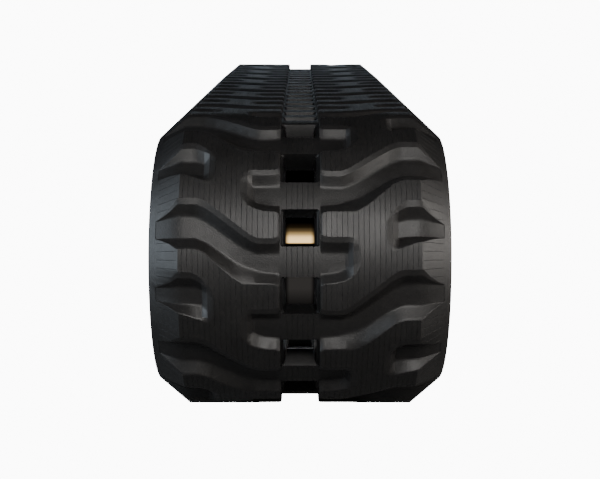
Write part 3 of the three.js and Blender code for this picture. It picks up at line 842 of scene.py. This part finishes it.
bpy.ops.mesh.primitive_plane_add(size=2 * FLOOR_HALF)
floor = bpy.context.object
floor.name = "studio_floor"
floor.data.transform(Matrix.Translation((0, 0, -FLOOR_DROP)))
pale, tree, shader = blank_material("pale_floor")
place = node(tree, "ShaderNodeTexCoord").outputs["Object"]
scuffs = node(tree, "ShaderNodeTexNoise", Vector=place, Scale=3.0, Detail=4.0).outputs[0]
tree.links.new(ramp(tree, scuffs, (0.3, (0.12, 0.12, 0.12)), (0.7, (0.14, 0.14, 0.14))),
               shader.inputs["Base Color"])
shader.inputs["Roughness"].default_value = 0.9
glow = node(tree, "ShaderNodeEmission", Color=(1, 1, 1, 1), Strength=WHITE_LEVEL)
seen = node(tree, "ShaderNodeLightPath").outputs["Is Camera Ray"]
blend = node(tree, "ShaderNodeMixShader", _0=seen, _1=shader.outputs[0], _2=glow.outputs[0])
tree.links.new(blend.outputs[0], tree.nodes["Material Output"].inputs["Surface"])
floor.data.materials.append(pale)

DIM_SURROUND = (0.008, 0.009, 0.012, 1)

world = bpy.data.worlds.new("studio")
bpy.context.scene.world = world
world.use_nodes = True
tree = world.node_tree
seen = node(tree, "ShaderNodeLightPath").outputs["Is Camera Ray"]
sky = mix_colour(tree, seen, DIM_SURROUND, (WHITE_LEVEL, WHITE_LEVEL, WHITE_LEVEL, 1))
tree.links.new(sky, tree.nodes["Background"].inputs["Color"])


def soft_light(name, place, target, size, power, colour):
    """A rectangular lamp at a place, turned towards a target."""
    lamp = bpy.data.lights.new(name, "AREA")
    lamp.energy = power
    lamp.color = colour
    lamp.shape = "RECTANGLE"
    lamp.size, lamp.size_y = size
    holder = bpy.data.objects.new(name, lamp)
    bpy.context.collection.objects.link(holder)
    holder.location = place
    holder.rotation_euler = (Vector(target) - Vector(place)).to_track_quat("-Z", "Y").to_euler()


NEARLY_WHITE = (1.0, 0.97, 0.94)
COOL_WHITE = (0.80, 0.90, 1.0)
WARM_WHITE = (1.0, 0.95, 0.90)
SKY_WHITE = (0.75, 0.88, 1.0)

soft_light("key", (0.08, -1.90, 0.95), (0, -0.88, 0.28), (0.6, 0.22), 14.5, NEARLY_WHITE)
soft_light("cool_side", (-2.1, -1.22, 0.72), (-0.18, -0.85, 0.26), (1.4, 1.0), 41, COOL_WHITE)
soft_light("warm_side", (2.1, -1.22, 0.72), (0.18, -0.85, 0.26), (1.4, 1.0), 39, WARM_WHITE)
soft_light("cool_back", (0, 1.75, 0.60), (0, 0.7, 0.42), (1.2, 0.15), 1.5, SKY_WHITE)

CARD_HALF_WIDTH = 0.045
GLOW_CORE = 0.4
GLOW_EDGE = 0.62


def painted_light_card(name, along, low, high, colour, strength, fade):
    """A black card standing inside the loop, seen through a window, with painted light on it: a soft glow,
    seen only by the camera, in place of the lit inside.
    """
    bpy.ops.mesh.primitive_plane_add(size=2)
    card = bpy.context.object
    card.name = name
    stand = Matrix.Translation((0, along, (low + high) / 2)) @ Matrix.Rotation(math.pi / 2, 4, "X")
    card.data.transform(stand @ Matrix.Diagonal((CARD_HALF_WIDTH, (high - low) / 2, 1, 1)))
    material, tree, shader = blank_material(name)
    shader.inputs["Base Color"].default_value = (0, 0, 0, 1)
    shader.inputs["Specular IOR Level"].default_value = 0.0
    place = node(tree, "ShaderNodeTexCoord").outputs["Object"]
    parts = node(tree, "ShaderNodeSeparateXYZ", Vector=place).outputs
    rise = node(tree, "ShaderNodeMapRange", Value=parts["Z"])
    rise.inputs["From Min"].default_value = low
    rise.inputs["From Max"].default_value = high
    aside = node(tree, "ShaderNodeMath", _0=parts["X"])
    aside.operation = "ABSOLUTE"
    fall = node(tree, "ShaderNodeMapRange", Value=aside.outputs[0])
    fall.interpolation_type = "SMOOTHSTEP"
    fall.inputs["From Min"].default_value = GLOW_CORE * CARD_HALF_WIDTH
    fall.inputs["From Max"].default_value = GLOW_EDGE * CARD_HALF_WIDTH
    fall.inputs["To Min"].default_value = 1.0
    fall.inputs["To Max"].default_value = 0.0
    spot = node(tree, "ShaderNodeMath", _0=ramp(tree, rise.outputs[0], *fade), _1=fall.outputs[0])
    spot.operation = "MULTIPLY"
    seen = node(tree, "ShaderNodeLightPath").outputs["Is Camera Ray"]
    shown = node(tree, "ShaderNodeMath", _0=spot.outputs[0], _1=seen)
    shown.operation = "MULTIPLY"
    lit = mix_colour(tree, shown.outputs[0], (0, 0, 0, 1), (*colour, 1))
    tree.links.new(lit, shader.inputs["Emission Color"])
    shader.inputs["Emission Strength"].default_value = strength
    card.data.materials.append(material)


# Painted light for the windows of the near bend: a strong amber glow in one window and a faint warm grey one
# lower down, both seen only by the camera.
PAINTED_LIGHT_AMBER = (1.0, 0.66, 0.28)
PAINTED_LIGHT_WARM_GREY = (1.0, 0.92, 0.86)
PAINTED_LIGHT_AMBER_FADE = ((0.135, 0.0), (0.15, 1.0), (0.20, 0.8), (0.235, 0.25), (0.27, 0.05), (0.31, 0.006), (0.36, 0.0))
PAINTED_LIGHT_GREY_FADE = ((0.15, 0.1), (0.5, 1.0))

painted_light_card("painted_window_light", -0.30, 0.128, 0.30, PAINTED_LIGHT_AMBER, 2.4, PAINTED_LIGHT_AMBER_FADE)
painted_light_card("painted_lower_light", -0.31, 0.02, 0.12, PAINTED_LIGHT_WARM_GREY, 0.035, PAINTED_LIGHT_GREY_FADE)

CAMERA_PLACE = (0, -2.3364, 0.5748)
CAMERA_DIP = 11.54

camera_data = bpy.data.cameras.new("camera")
camera_data.lens = 68.84
camera_data.sensor_width = 36
camera = bpy.data.objects.new("camera", camera_data)
bpy.context.collection.objects.link(camera)
camera.location = CAMERA_PLACE
camera.rotation_euler = (math.radians(90 - CAMERA_DIP), 0, 0)
bpy.context.scene.camera = camera
